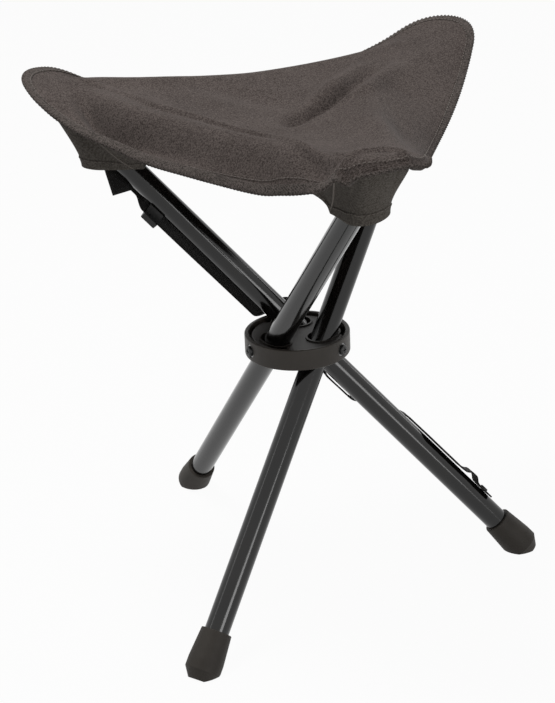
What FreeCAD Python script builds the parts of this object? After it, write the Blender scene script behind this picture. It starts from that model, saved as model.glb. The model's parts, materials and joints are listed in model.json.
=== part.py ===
import FreeCAD, Part
import os
from math import atan2, cos, degrees, exp, hypot, radians, sin, sqrt, tan, tanh
from FreeCAD import Placement, Rotation, Vector

# Driving dimensions, in millimetres and degrees

# Place of the hub's axis
HUB_X = 7.0
HUB_Y = 11.0

# Legs
LEG_TILT = 42.2
LEG_BELOW = 312.5
LEG_ABOVE = 301.0
TUBE_OD = 22.0
TUBE_WALL = 1.2
PLUG_HEAD = 4.0
PLUG_DOME = 1.5
PLUG_STEM = 16.0

# Rubber feet
FOOT_LENGTH = 40.0
FOOT_TOP_WALL = 2.75
FOOT_BAND_WALL = 5.0
FOOT_BAND = 9.0
FOOT_BEVEL = 9.0
FOOT_BEVEL_INSET = 6.0
FOOT_PAST_FLOOR = 5.0
FOOT_TUBE_STANDOFF = 15.0
FOOT_RIM_ROUND = 0.8

# Hub
POST_HALF = 13.1
CORE_WALL = 7.8
RING_WALL = 4.2
RING_HEIGHT = 19.5
RING_ROUND = 1.2
CORE_RECESS = 2.3
CORE_EDGE_ROUND = 2.0
CORE_GROOVE = 1.6
CORE_GROOVE_DEPTH = 3.4
CORE_FIT = 0.1
LIP_WIDTH = 1.7
LIP_HEIGHT = 1.3
SLOT_CLEARANCE = 0.4
RELIEF_DEPTH = 8.0
RELIEF_WALL = 3.0
CORE_BORE_R = 5.0
CORE_TOP_WALL = 3.0

# Pivot screws, bushes and inserts
SCREW_D = 6.0
SCREW_HOLE_FIT = 0.15
HEAD_OVERHANG = 1.7
HEAD_HEIGHT = 3.0
RECESS_RIM = 2.1
RECESS_WIDTH = 1.1
RECESS_DEPTH = 1.9
WASHER_OVERHANG = 1.3
WASHER_T = 1.0
SPOT_FACE_FIT = 0.3
SPOT_FACE_DEPTH = 1.6
BUSH_WALL = 1.35
BUSH_RUNNING_FIT = 0.05
INSERT_WALL = 1.2
INSERT_BACK_WALL = 1.1
SCREW_END_GAP = 0.5

# Seat cloth
CLOTH = 1.4
SEAT_ABOVE_TIP = 2.4
CORNER_OVERHANG = 18.7
SEAT_CORNER_R = 50.0
SEAT_BOW = 13.0
SEAT_DISH = 22.0
RIDGE_INSIDE = 7.0
RIDGE_SOFTNESS = 7.0
APRON_DROP = 33.0
HANG_SOFTNESS = 0.16
SEAT_GRID_STEPS = 28
BINDING_WIDTH = 8.0
BINDING_T = 0.7

# How the corners and the sides of the worn cloth differ. The right side's ridge has a knuckle that
# bends inwards. The front side's ridge bows inwards, and its edge hangs lower near the front corner.
# The knuckle and the bow are shares of the ridge's distance from the middle. Places along a side are
# shares of half its ridge, counted from its middle
FLAP_RISES = {"a": -18.0, "b": 10.0, "c": 12.0}
RIGHT_SIDE = 0
FRONT_SIDE = 2
KNUCKLE = 0.448
KNUCKLE_AT = 0.347
KNUCKLE_FROM = -0.67
KNUCKLE_TO = 0.84
KNUCKLE_SOFTNESS = 0.06
FRONT_BOW = 0.28
FRONT_BOW_AT = -0.53
FRONT_BOW_SPREAD = 0.347
FRONT_ROUNDING = 1.7
FRONT_DROP = 4.0
FRONT_DROP_AT = 0.615
FRONT_DROP_SPREAD = 0.28
HANG_POWER = 2.0
FRONT_HANG_POWER = 3.5
FRONT_HANG_SKEW = 1.5
FRONT_HANG_TURN = 3.6

# Corner pockets
POCKET_INSET = 16.0
POCKET_LENGTH = 40.0
POCKET_DEPTH = 61.5
POCKET_SIDE_ROOM = 10.0
POCKET_BACK_ROOM = 5.0
POCKET_FRONT_ROOM = 23.0
POCKET_BELLY = 2.0
BODY_GAP = 0.4

# Carry strap on the third leg. Its face looks in a direction counted from outwards towards the underside
STRAP_WIDTH = 20.0
STRAP_T = 1.6
STRAP_TOP_BELOW_HEM = 4.0
STRAP_STAND_OFF = 6.2
STRAP_FACING = 70.0
STRAP_OVER_HUB_FACING = 62.0
STRAP_HUB_GAP = 2.1
STRAP_HUB_REACH = 10.0
STRAP_HUB_FACING = 6.0
STRAP_LOW_FACING = 109.0
# Where it crosses behind the lower tube: share of the way down, side of the tube, gap, depth past the tube
STRAP_CROSSING = [
    (0.13, 1, 1.2, -3.0),
    (0.35, 1, 0.8, 6.0),
    (0.57, 0, 0.0, 14.5),
    (0.80, -1, 0.8, 5.0),
]
# Along the last run: height over the foot's rim, and gap to the tube, with a small arch on the way
STRAP_ABOVE_FOOT = [
    (107.0, 0.8),
    (66.0, 1.0),
    (60.0, 1.6),
    (54.5, 4.6),
    (49.0, 4.6),
    (42.0, 0.6),
    (36.0, 0.3),
    (24.0, 0.3),
]
STRAP_STEPS_PER_RUN = 5
TAB_FACING = 36.0
TAB_LEAN = 30.0
TAB_ASIDE = 17.5
TAB_CLEARANCE = 1.2
TAB_T = 3.6
TAB_LENGTH = 36.0
TAB_END_BELOW_HEM = 18.5
SEAM_GAP = 0.1
SLIDER_BELOW_HEM = 52.0
SLIDER_LENGTH = 16.0
SLIDER_RIM = 3.6
SLIDER_FIT = 0.8
SLIDER_THICKNESS = 6.0
SLIDER_ROUND = 1.2
RIVET_INSET = 8.0
RIVET_D = 4.0
RIVET_HEAD_D = 8.0
RIVET_HEAD_T = 1.8
RIVET_BULB_D = 6.0
RIVET_BULB_T = 1.8
RIVET_BULB_GAP = 0.6

# Worked out from the driving dimensions
TUBE_R = TUBE_OD / 2
TUBE_BORE_R = TUBE_R - TUBE_WALL
PIVOT_HEIGHT = LEG_BELOW * cos(radians(LEG_TILT))
SLOT_HALF = TUBE_R + SLOT_CLEARANCE
PIVOT_RADIUS = POST_HALF + SLOT_HALF
SLOT_OUTER = PIVOT_RADIUS + SLOT_HALF
CORE_R = SLOT_OUTER + CORE_WALL
CORE_HALF = RING_HEIGHT / 2 - CORE_RECESS
RING_BORE_R = CORE_R + CORE_FIT
RING_R = RING_BORE_R + RING_WALL
SCREW_HOLE_R = SCREW_D / 2 + SCREW_HOLE_FIT
HEAD_R = SCREW_D / 2 + HEAD_OVERHANG
RECESS_ARM = 2 * (HEAD_R - RECESS_RIM)
WASHER_R = HEAD_R + WASHER_OVERHANG
SPOT_FACE_AT = RING_R - SPOT_FACE_DEPTH
HEAD_AT = SPOT_FACE_AT + WASHER_T
BUSH_R = SCREW_HOLE_R + BUSH_WALL
INSERT_R = SCREW_D / 2 + INSERT_WALL
INSERT_START = CORE_BORE_R + INSERT_BACK_WALL
FOOT_TOP_AT = FOOT_LENGTH - LEG_BELOW
TIP_AT = LEG_ABOVE + PLUG_HEAD
TIP_OUT = TIP_AT * sin(radians(LEG_TILT))
TIP_RADIUS = hypot(TIP_OUT, PIVOT_RADIUS)
TIP_TOP = TIP_AT * cos(radians(LEG_TILT)) + TUBE_R * sin(radians(LEG_TILT))
SEAT_TWIST = degrees(atan2(PIVOT_RADIUS, TIP_OUT))
SEAT_LEVEL = TIP_TOP + SEAT_ABOVE_TIP
SEAT_REACH = TIP_RADIUS + TUBE_R + CORNER_OVERHANG
SEAT_INRADIUS = (SEAT_REACH + SEAT_CORNER_R) / 2
CORNER_CENTRE = SEAT_REACH - SEAT_CORNER_R
RIDGE_AT = TIP_RADIUS * cos(radians(60)) + TUBE_R - RIDGE_INSIDE
RIDGE_HALF = TIP_RADIUS * sin(radians(60))
SEAM_HEIGHT = SEAT_LEVEL - TUBE_R
HEM_AT = TIP_AT - POCKET_DEPTH / cos(radians(LEG_TILT))
HEM_HEIGHT = HEM_AT * cos(radians(LEG_TILT))
HEM_AXIS_OUT = HEM_AT * sin(radians(LEG_TILT))
HEM_HALF = TUBE_R + POCKET_SIDE_ROOM
HEM_BACK = TUBE_R / cos(radians(LEG_TILT)) + POCKET_BACK_ROOM
HEM_FRONT = TUBE_R / cos(radians(LEG_TILT)) + POCKET_FRONT_ROOM
TAB_OUT = TUBE_R + TAB_CLEARANCE + TAB_T / 2
SLIDER_AT = HEM_AT - SLIDER_BELOW_HEM
STRAIGHT_IN_SLIDER = SLIDER_LENGTH * 0.65

# Direction of each leg's pivot screw, seen from above, counted from +X
LEG_DIRECTIONS = {"a": 210.0, "b": 330.0, "c": 90.0}
STRAP_LEG = "c"

UP = Vector(0, 0, 1)
OUT = Vector(1, 0, 0)
BIG = 1000.0


def hub_place(direction):
    # Local X points outwards along the pivot screw, and Z is up from the pivot's height
    return Placement(Vector(0, 0, PIVOT_HEIGHT), Rotation(UP, direction))


def leg_place(direction):
    # Local Z runs up the open leg from its pivot, X outwards, and Y to the leg's underside
    at_pivot = Placement(Vector(PIVOT_RADIUS, 0, 0), Rotation(OUT, -LEG_TILT))
    return hub_place(direction).multiply(at_pivot)


def placed(shape, place):
    result = shape.copy()
    result.Placement = place.multiply(result.Placement)
    return result


def rod(radius, start, end):
    # A cylinder along local X, the direction of a pivot screw
    return Part.makeCylinder(radius, end - start, Vector(start, 0, 0), OUT)


def sleeve(outer, inner, start, end):
    return rod(outer, start, end).cut(rod(inner, start, end))


def centred_box(x_size, y_size, z_size, centre):
    corner = centre - Vector(x_size / 2, y_size / 2, z_size / 2)
    return Part.makeBox(x_size, y_size, z_size, corner)


def revolved(profile):
    # Turns a closed outline of (radius, height) points round local Z
    points = [Vector(radius, 0, height) for radius, height in profile]
    outline = Part.makePolygon(points + points[:1])
    return Part.Face(outline).revolve(Vector(), UP, 360)


def leg_tube():
    length = LEG_ABOVE + LEG_BELOW - FOOT_TUBE_STANDOFF
    base = Vector(0, 0, FOOT_TUBE_STANDOFF - LEG_BELOW)
    tube = Part.makeCylinder(TUBE_R, length, base)
    tube = tube.cut(Part.makeCylinder(TUBE_BORE_R, length, base))
    return tube.cut(rod(BUSH_R + BUSH_RUNNING_FIT, -TUBE_OD, TUBE_OD))


def tip_plug():
    stem = Part.makeCylinder(TUBE_BORE_R, PLUG_STEM, Vector(0, 0, LEG_ABOVE - PLUG_STEM))
    head = Part.makeCylinder(TUBE_R, PLUG_HEAD, Vector(0, 0, LEG_ABOVE))
    top = [edge for edge in head.Edges if edge.BoundBox.ZMin > TIP_AT - PLUG_DOME]
    return stem.fuse(head.makeFillet(PLUG_DOME, top)).removeSplitter()


def foot_cap(direction):
    end = -LEG_BELOW - FOOT_PAST_FLOOR
    top = FOOT_TOP_AT
    band_r = TUBE_R + FOOT_BAND_WALL
    seat = FOOT_TUBE_STANDOFF - LEG_BELOW
    cap = revolved([
        (0, end),
        (band_r - FOOT_BEVEL_INSET, end),
        (band_r, end + FOOT_BEVEL),
        (band_r, end + FOOT_BEVEL + FOOT_BAND),
        (TUBE_R + FOOT_TOP_WALL, top),
        (TUBE_R, top),
        (TUBE_R, seat),
        (0, seat),
    ])
    rim = [edge for edge in cap.Edges if edge.BoundBox.ZMin > top - FOOT_RIM_ROUND and edge.Closed]
    outer_rim = [edge for edge in rim if edge.BoundBox.XLength > TUBE_OD + FOOT_RIM_ROUND]
    cap = placed(cap.makeFillet(FOOT_RIM_ROUND, outer_rim), leg_place(direction))
    return cap.cut(Part.makeBox(BIG, BIG, BIG, Vector(-BIG / 2, -BIG / 2, -BIG)))


def hub_ring():
    outer = Part.makeCylinder(RING_R, RING_HEIGHT, Vector(0, 0, -RING_HEIGHT / 2))
    ring = outer.cut(Part.makeCylinder(RING_BORE_R, RING_HEIGHT, Vector(0, 0, -RING_HEIGHT / 2)))
    rims = [edge for edge in ring.Edges if edge.BoundBox.ZLength < RING_ROUND]
    ring = ring.makeFillet(RING_ROUND, rims)
    for direction in LEG_DIRECTIONS.values():
        turn = Placement(Vector(), Rotation(UP, direction))
        ring = ring.cut(placed(rod(WASHER_R + SPOT_FACE_FIT, SPOT_FACE_AT, 2 * RING_R), turn))
        ring = ring.cut(placed(rod(SCREW_HOLE_R, 0, 2 * RING_R), turn))
    return placed(ring, Placement(Vector(0, 0, PIVOT_HEIGHT), Rotation()))


def leg_slot(wider):
    # The room that a tube sweeps between upright and open, with a straight run on both sides
    half = RING_HEIGHT
    radius = SLOT_HALF + wider
    upright = Part.makeCylinder(radius, 2 * half, Vector(PIVOT_RADIUS, 0, -half))
    lean = Vector(0, sin(radians(LEG_TILT)), cos(radians(LEG_TILT)))
    run = 2 * RING_HEIGHT
    start = Vector(PIVOT_RADIUS, 0, 0) - lean * run
    open_leg = Part.makeCylinder(radius, 2 * run, start, lean)
    slot = upright.fuse(open_leg)
    reach = half * tan(radians(LEG_TILT))
    inner = PIVOT_RADIUS - radius
    for side in (1, -1):
        corners = [Vector(inner, 0, 0), Vector(inner, 0, side * half)]
        corners.append(Vector(inner, side * reach, side * half))
        wedge = Part.Face(Part.makePolygon(corners + corners[:1]))
        slot = slot.fuse(wedge.extrude(Vector(2 * radius, 0, 0)))
    return slot


def swing_relief():
    # A pocket in the core beside the opened leg, above on one side and below on the other
    near = SLOT_HALF + RELIEF_WALL
    above = Part.makeBox(CORE_R, CORE_R, RELIEF_DEPTH, Vector(PIVOT_RADIUS, near, CORE_HALF - RELIEF_DEPTH))
    below = Part.makeBox(CORE_R, CORE_R, RELIEF_DEPTH, Vector(PIVOT_RADIUS, -near - CORE_R, -CORE_HALF))
    return above.fuse(below)


def core_blank():
    # A thick disc with a groove round both rims, round edges, and a blind bore from below
    face_r = CORE_R - CORE_GROOVE
    disc = Part.makeCylinder(face_r, 2 * CORE_HALF, Vector(0, 0, -CORE_HALF))
    disc = disc.makeFillet(CORE_EDGE_ROUND, [edge for edge in disc.Edges if edge.Closed])
    band_half = CORE_HALF - CORE_GROOVE_DEPTH
    disc = disc.fuse(Part.makeCylinder(CORE_R, 2 * band_half, Vector(0, 0, -band_half)))
    bore = Part.makeCylinder(CORE_BORE_R, 2 * CORE_HALF - CORE_TOP_WALL, Vector(0, 0, -CORE_HALF))
    return disc.cut(bore)


def slot_lips():
    # A raised rim round a slot's mouth, above and below
    face_r = CORE_R - CORE_GROOVE - CORE_EDGE_ROUND
    around = leg_slot(LIP_WIDTH)
    above = Part.makeCylinder(face_r, LIP_HEIGHT, Vector(0, 0, CORE_HALF))
    below = Part.makeCylinder(face_r, LIP_HEIGHT, Vector(0, 0, -CORE_HALF - LIP_HEIGHT))
    below = below.cut(Part.makeCylinder(CORE_BORE_R, LIP_HEIGHT, Vector(0, 0, -CORE_HALF - LIP_HEIGHT)))
    return around.common(above), around.common(below)


def hub_core():
    turns = [Placement(Vector(), Rotation(UP, direction)) for direction in LEG_DIRECTIONS.values()]
    core = core_blank()
    for turn in turns:
        for lip in slot_lips():
            core = core.fuse(placed(lip, turn))
    for turn in turns:
        core = core.cut(placed(leg_slot(0), turn))
        core = core.cut(placed(swing_relief(), turn))
        core = core.cut(placed(rod(BUSH_R, POST_HALF, SLOT_OUTER), turn))
        core = core.cut(placed(rod(SCREW_HOLE_R, POST_HALF, RING_R), turn))
        core = core.cut(placed(rod(INSERT_R, INSERT_START, POST_HALF), turn))
        core = core.cut(placed(rod(SCREW_HOLE_R, 0, POST_HALF), turn))
    return placed(core, Placement(Vector(0, 0, PIVOT_HEIGHT), Rotation()))


def pivot_screw():
    head = rod(HEAD_R, HEAD_AT, HEAD_AT + HEAD_HEIGHT)
    crown = [edge for edge in head.Edges if edge.BoundBox.XMin > HEAD_AT + HEAD_HEIGHT / 2]
    head = head.makeFillet(HEAD_HEIGHT / 2, crown)
    shank = rod(SCREW_D / 2, INSERT_START + SCREW_END_GAP, HEAD_AT)
    screw = head.fuse(shank)
    centre = Vector(HEAD_AT + HEAD_HEIGHT, 0, 0)
    for y_size, z_size in ((RECESS_ARM, RECESS_WIDTH), (RECESS_WIDTH, RECESS_ARM)):
        screw = screw.cut(centred_box(2 * RECESS_DEPTH, y_size, z_size, centre))
    return screw


def pivot_washer():
    return sleeve(WASHER_R, SCREW_HOLE_R, SPOT_FACE_AT, HEAD_AT)


def pivot_bush():
    return sleeve(BUSH_R, SCREW_HOLE_R, POST_HALF, SLOT_OUTER)


def screw_insert():
    return sleeve(INSERT_R, SCREW_D / 2, INSERT_START, POST_HALF)


def soft_step(value, softness):
    # Rises from nought to value without a sharp corner
    return (value + sqrt(value * value + softness * softness)) / 2


def bump(value, centre, spread):
    return exp(-((value - centre) / spread) ** 2 / 2)


def ridge_place(side, along):
    # How far from the middle a side's ridge lies, at a place along the side
    if side == RIGHT_SIDE:
        if along < KNUCKLE_AT:
            share = (along - KNUCKLE_FROM) / (KNUCKLE_AT - KNUCKLE_FROM)
        else:
            share = (KNUCKLE_TO - along) / (KNUCKLE_TO - KNUCKLE_AT)
        return RIDGE_AT * (1 - KNUCKLE * soft_step(share, KNUCKLE_SOFTNESS))
    if side == FRONT_SIDE:
        return RIDGE_AT * (1 - FRONT_BOW * bump(along, FRONT_BOW_AT, FRONT_BOW_SPREAD))
    return RIDGE_AT


def apron_fall(side, across, along, ridge):
    # How far a side's edge hangs down outside its ridge
    fall = soft_step(across - ridge, RIDGE_SOFTNESS) / (SEAT_INRADIUS - ridge)
    drop = APRON_DROP
    power = HANG_POWER
    if side == FRONT_SIDE:
        fall = fall ** FRONT_ROUNDING
        drop += FRONT_DROP * bump(along, FRONT_DROP_AT, FRONT_DROP_SPREAD)
        power = FRONT_HANG_POWER + FRONT_HANG_SKEW * tanh(FRONT_HANG_TURN * along)
    return drop * fall * soft_step(1 - abs(along) ** power, HANG_SOFTNESS)


def seat_height(x, y):
    # Height of the cloth's underside above the pivots. Three ridges run from tip to tip, the
    # middle sags between them, the edge outside each ridge hangs down, and the corners rise or droop
    out = hypot(x, y)
    height = SEAT_LEVEL - SEAT_BOW * (1 - (out / TIP_RADIUS) ** 2)
    past_tip = soft_step(out - TIP_RADIUS, RIDGE_SOFTNESS) / SEAT_CORNER_R
    for letter, rise in FLAP_RISES.items():
        corner = radians(LEG_DIRECTIONS[letter] + 90 - SEAT_TWIST)
        towards = max(0.0, x * cos(corner) + y * sin(corner))
        height += rise * past_tip * (towards / max(out, TUBE_R)) ** 6
    dish = SEAT_DISH
    for side in range(3):
        normal = radians(120 * side - SEAT_TWIST)
        across = x * cos(normal) + y * sin(normal)
        along = (y * cos(normal) - x * sin(normal)) / RIDGE_HALF
        ridge = ridge_place(side, along)
        dish *= soft_step(ridge - across, RIDGE_SOFTNESS) / RIDGE_AT
        height -= apron_fall(side, across, along, ridge)
    return height - dish


def seat_surface(drop):
    # The cloth's underside as one smooth face, moved down by drop
    reach = CORNER_CENTRE + SEAT_CORNER_R + 2 * BINDING_T
    step = 2 * reach / SEAT_GRID_STEPS
    rows = []
    for i in range(SEAT_GRID_STEPS + 1):
        x = -reach + i * step
        ys = [-reach + j * step for j in range(SEAT_GRID_STEPS + 1)]
        rows.append([Vector(x, y, PIVOT_HEIGHT + seat_height(x, y) - drop) for y in ys])
    surface = Part.BSplineSurface()
    surface.interpolate(rows)
    return surface.toShape()


def seat_outline(inset):
    # A triangle with round corners, turned so that each corner lies over a leg tip
    radius = SEAT_CORNER_R - inset
    starts = []
    middles = []
    ends = []
    for side in range(3):
        corner = 60 + 120 * side - SEAT_TWIST
        centre = Rotation(UP, corner).multVec(Vector(CORNER_CENTRE, 0, 0))
        for points, turn in ((starts, -60), (middles, 0), (ends, 60)):
            points.append(centre + Rotation(UP, corner + turn).multVec(Vector(radius, 0, 0)))
    edges = []
    for side in range(3):
        edges.append(Part.Arc(starts[side], middles[side], ends[side]).toShape())
        edges.append(Part.makeLine(ends[side], starts[(side + 1) % 3]))
    return Part.Face(Part.Wire(edges))


def seat_column(inset):
    return seat_outline(inset).extrude(Vector(0, 0, BIG))


def seat_panel():
    return seat_surface(0).extrude(Vector(0, 0, CLOTH)).common(seat_column(BINDING_T))


def seat_binding(panel):
    band = seat_column(0).cut(seat_column(BINDING_WIDTH))
    tape = seat_surface(BINDING_T).extrude(Vector(0, 0, CLOTH + 2 * BINDING_T))
    return tape.common(band).cut(panel)


def pocket_loop(inner_x, half_inner, side_x, half_side, tip_x, height):
    # A closed loop: a straight inner side, two flanks and a round outer end
    flank = Vector(side_x, half_side, height)
    far_flank = Vector(side_x, -half_side, height)
    start = Vector(inner_x, half_inner, height)
    far_start = Vector(inner_x, -half_inner, height)
    edges = [Part.makeLine(far_start, start)]
    edges.append(Part.makeLine(start, flank))
    edges.append(Part.Arc(flank, Vector(tip_x, 0, height), far_flank).toShape())
    edges.append(Part.makeLine(far_flank, far_start))
    return Part.Wire(edges)


def pocket_form(wall):
    # From the hem round the leg over a belly to the seam, and straight up into the seat, thinner by wall
    corner_r = SEAT_CORNER_R - POCKET_INSET - wall
    flank_x = CORNER_CENTRE + corner_r * cos(radians(60))
    flank_half = corner_r * sin(radians(60))
    inner_x = CORNER_CENTRE - POCKET_LENGTH - wall
    inner_half = flank_half + (flank_x - inner_x) * tan(radians(30))
    hem_half = HEM_HALF - wall
    hem_tip = HEM_AXIS_OUT + HEM_FRONT - wall
    hem_inner = HEM_AXIS_OUT - HEM_BACK - wall
    seam = [inner_x, inner_half, flank_x, flank_half, CORNER_CENTRE + corner_r, SEAM_HEIGHT]
    hem = [hem_inner, hem_half, hem_tip - hem_half, hem_half, hem_tip, HEM_HEIGHT]
    belly = [(low + high) / 2 for low, high in zip(hem, seam)]
    belly[2] += POCKET_BELLY
    belly[4] += POCKET_BELLY
    above = seam[:5] + [SEAT_LEVEL + TUBE_OD]
    loops = []
    for sizes, share in ((hem, 0.0), (belly, 0.5), (seam, 1.0), (above, 1.0)):
        loop = pocket_loop(*sizes)
        loop.rotate(Vector(), UP, 90 - share * SEAT_TWIST)
        loop.translate(Vector((1 - share) * PIVOT_RADIUS, 0, 0))
        loops.append(loop)
    return Part.makeLoft(loops, True, True)


def pocket(direction, above_seat):
    shell = pocket_form(0).cut(pocket_form(CLOTH))
    return placed(shell, hub_place(direction)).cut(above_seat)


def strap_row(at, stand_off, slide, facing):
    # Place along the leg, the strap's middle outwards and underwards of the axis, and its face direction
    turn = radians(facing)
    out = stand_off * cos(turn) + slide * sin(turn)
    under = stand_off * sin(turn) - slide * cos(turn)
    return at, out, under, facing


def strap_stations():
    on_tube = TUBE_R + STRAP_T / 2
    beside = on_tube + STRAP_STAND_OFF
    on_tab = TAB_OUT + (TAB_T + STRAP_T) / 2 + SEAM_GAP
    below_tab = TAB_END_BELOW_HEM + STRAP_WIDTH / 2
    hub_out = HEAD_AT + HEAD_HEIGHT + STRAP_HUB_GAP + STRAP_T / 2 - PIVOT_RADIUS
    hub_pass = RING_HEIGHT / 2 + STRAP_HUB_REACH
    rows = []
    for below_hem in (STRAP_TOP_BELOW_HEM, below_tab):
        rows.append(strap_row(HEM_AT - below_hem, on_tab, 0, TAB_FACING))
    for side in (1, -1):
        rows.append(strap_row(SLIDER_AT + side * STRAIGHT_IN_SLIDER, beside, 0, STRAP_FACING))
    rows.append(strap_row(2 * hub_pass, beside, 0, STRAP_OVER_HUB_FACING))
    for side in (1, -1):
        rows.append(strap_row(side * hub_pass, hub_out, 0, STRAP_HUB_FACING))
    way_down = FOOT_TOP_AT + STRAP_ABOVE_FOOT[0][0] + 2 * hub_pass
    for share, side, gap, past_tube in STRAP_CROSSING:
        at = share * way_down - 2 * hub_pass
        rows.append(strap_row(at, side * (on_tube + gap), TUBE_R + past_tube, STRAP_LOW_FACING))
    for height, gap in STRAP_ABOVE_FOOT:
        rows.append(strap_row(FOOT_TOP_AT + height, -on_tube - gap, 0, STRAP_LOW_FACING))
    return rows


def strap_place(at):
    # Local X is the strap's face direction, Y its width, and Z runs up the leg
    stations = strap_stations()
    for upper, lower in zip(stations, stations[1:]):
        if lower[0] <= at <= upper[0]:
            share = (upper[0] - at) / (upper[0] - lower[0])
            ease = share * share * (3 - 2 * share)
            out, under, facing = [high + (low - high) * ease for high, low in zip(upper[1:], lower[1:])]
            return Placement(Vector(out, under, at), Rotation(UP, facing))
    raise ValueError("no strap at %s" % at)


def strap_section(at):
    corners = []
    for x_side, y_side in ((-1, -1), (1, -1), (1, 1), (-1, 1)):
        corners.append(Vector(x_side * STRAP_T / 2, y_side * STRAP_WIDTH / 2, 0))
    return placed(Part.makePolygon(corners + corners[:1]), strap_place(at))


def strap_rivet():
    # Its head lies on the strap and its bulb inside the tube
    at = strap_stations()[-1][0] + RIVET_INSET
    face = -STRAP_T / 2
    bore = STRAP_T / 2 + STRAP_ABOVE_FOOT[-1][1] + TUBE_WALL
    bulb = bore + RIVET_BULB_GAP
    head = rod(RIVET_HEAD_D / 2, face - RIVET_HEAD_T, face)
    crown = [edge for edge in head.Edges if edge.BoundBox.XMax < face - RIVET_HEAD_T / 2]
    rivet = head.makeFillet(RIVET_HEAD_T / 2, crown)
    rivet = rivet.fuse(rod(RIVET_D / 2, face, bulb + RIVET_BULB_T))
    rivet = rivet.fuse(rod(RIVET_BULB_D / 2, bulb, bulb + RIVET_BULB_T))
    return placed(rivet, strap_place(at))


def carry_strap():
    stations = strap_stations()
    places = []
    for upper, lower in zip(stations, stations[1:]):
        step = (upper[0] - lower[0]) / STRAP_STEPS_PER_RUN
        places += [upper[0] - i * step for i in range(STRAP_STEPS_PER_RUN)]
    places.append(stations[-1][0])
    return Part.makeLoft([strap_section(at) for at in places], True, True).cut(strap_rivet())


def strap_tab():
    # Hangs from inside the hem and leans away from the leg, with the strap's end sewn to its back
    band = centred_box(TAB_T, STRAP_WIDTH, TAB_LENGTH, Vector(0, 0, TAB_LENGTH / 2))
    beside_tube = Placement(Vector(0, 0, HEM_AT - TAB_END_BELOW_HEM), Rotation(UP, TAB_FACING))
    leaning = Placement(Vector(TAB_OUT, TAB_ASIDE, 0), Rotation(OUT, TAB_LEAN))
    return placed(band, beside_tube.multiply(leaning))


def strap_slider():
    width = STRAP_WIDTH + 2 * (SLIDER_FIT + SLIDER_RIM)
    body = centred_box(SLIDER_THICKNESS, width, SLIDER_LENGTH, Vector())
    corners = [edge for edge in body.Edges if edge.BoundBox.XLength > SLIDER_THICKNESS / 2]
    body = body.makeFillet(SLIDER_ROUND, corners)
    slot = centred_box(STRAP_T + 2 * SLIDER_FIT, STRAP_WIDTH + 2 * SLIDER_FIT, 2 * SLIDER_LENGTH, Vector())
    return placed(body.cut(slot), strap_place(SLIDER_AT))


def export(name, shape):
    # The pieces are made round the hub's axis, and the origin is the middle of the stool's outline
    at_origin = placed(shape, Placement(Vector(HUB_X, HUB_Y, 0), Rotation()))
    at_origin.exportStep(os.path.join("parts", name + ".step"))


def export_leg(letter, direction, above_seat):
    on_leg = leg_place(direction)
    on_hub = hub_place(direction)
    tube = leg_tube()
    if letter == STRAP_LEG:
        tube = tube.cut(strap_rivet())
    name = "leg_" + letter
    export(name + "_tube", placed(tube, on_leg))
    export(name + "_foot", foot_cap(direction))
    export(name + "_tip_plug", placed(tip_plug(), on_leg))
    export(name + "_pocket", pocket(direction, above_seat))
    export(name + "_pivot_screw", placed(pivot_screw(), on_hub))
    export(name + "_pivot_washer", placed(pivot_washer(), on_hub))
    export(name + "_pivot_bush", placed(pivot_bush(), on_hub))
    export(name + "_screw_insert", placed(screw_insert(), on_hub))


def export_strap():
    on_leg = leg_place(LEG_DIRECTIONS[STRAP_LEG])
    export("carry_strap", placed(carry_strap(), on_leg))
    export("strap_tab", placed(strap_tab(), on_leg))
    export("strap_slider", placed(strap_slider(), on_leg))
    export("strap_rivet", placed(strap_rivet(), on_leg))


def main():
    os.makedirs("parts", exist_ok=True)
    above_seat = seat_surface(BODY_GAP).extrude(Vector(0, 0, BIG))
    for letter, direction in LEG_DIRECTIONS.items():
        export_leg(letter, direction, above_seat)
    export_strap()
    export("hub_ring", hub_ring())
    export("hub_core", hub_core())
    panel = seat_panel()
    export("seat_panel", panel)
    export("seat_binding", seat_binding(panel))


main()
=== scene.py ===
import json
from math import atan2, cos, hypot, pi, radians, sin, sqrt

import bmesh
import bpy
import numpy as np
from mathutils import Matrix, Vector


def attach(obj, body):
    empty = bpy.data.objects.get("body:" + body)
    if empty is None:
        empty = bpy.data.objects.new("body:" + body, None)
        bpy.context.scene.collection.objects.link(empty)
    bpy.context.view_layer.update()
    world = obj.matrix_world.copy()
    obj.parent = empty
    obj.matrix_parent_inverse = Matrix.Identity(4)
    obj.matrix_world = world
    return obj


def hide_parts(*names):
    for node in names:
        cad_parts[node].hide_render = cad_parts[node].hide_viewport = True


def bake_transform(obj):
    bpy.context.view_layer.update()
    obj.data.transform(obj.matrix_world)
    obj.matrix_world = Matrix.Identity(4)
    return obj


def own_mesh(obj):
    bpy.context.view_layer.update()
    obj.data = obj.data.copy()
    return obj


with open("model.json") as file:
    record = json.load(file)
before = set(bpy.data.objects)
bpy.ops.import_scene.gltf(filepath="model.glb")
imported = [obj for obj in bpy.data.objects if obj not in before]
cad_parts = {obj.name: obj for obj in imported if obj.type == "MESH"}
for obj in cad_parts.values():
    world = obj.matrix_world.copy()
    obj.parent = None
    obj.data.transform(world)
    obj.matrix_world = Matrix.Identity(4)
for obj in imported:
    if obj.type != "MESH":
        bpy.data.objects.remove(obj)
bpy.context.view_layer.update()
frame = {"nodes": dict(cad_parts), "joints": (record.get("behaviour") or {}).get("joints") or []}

# Lengths are in metres. A list in millimetres says so and is multiplied by MM
MM = 0.001
UPWARDS = Vector((0, 0, 1))

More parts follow.
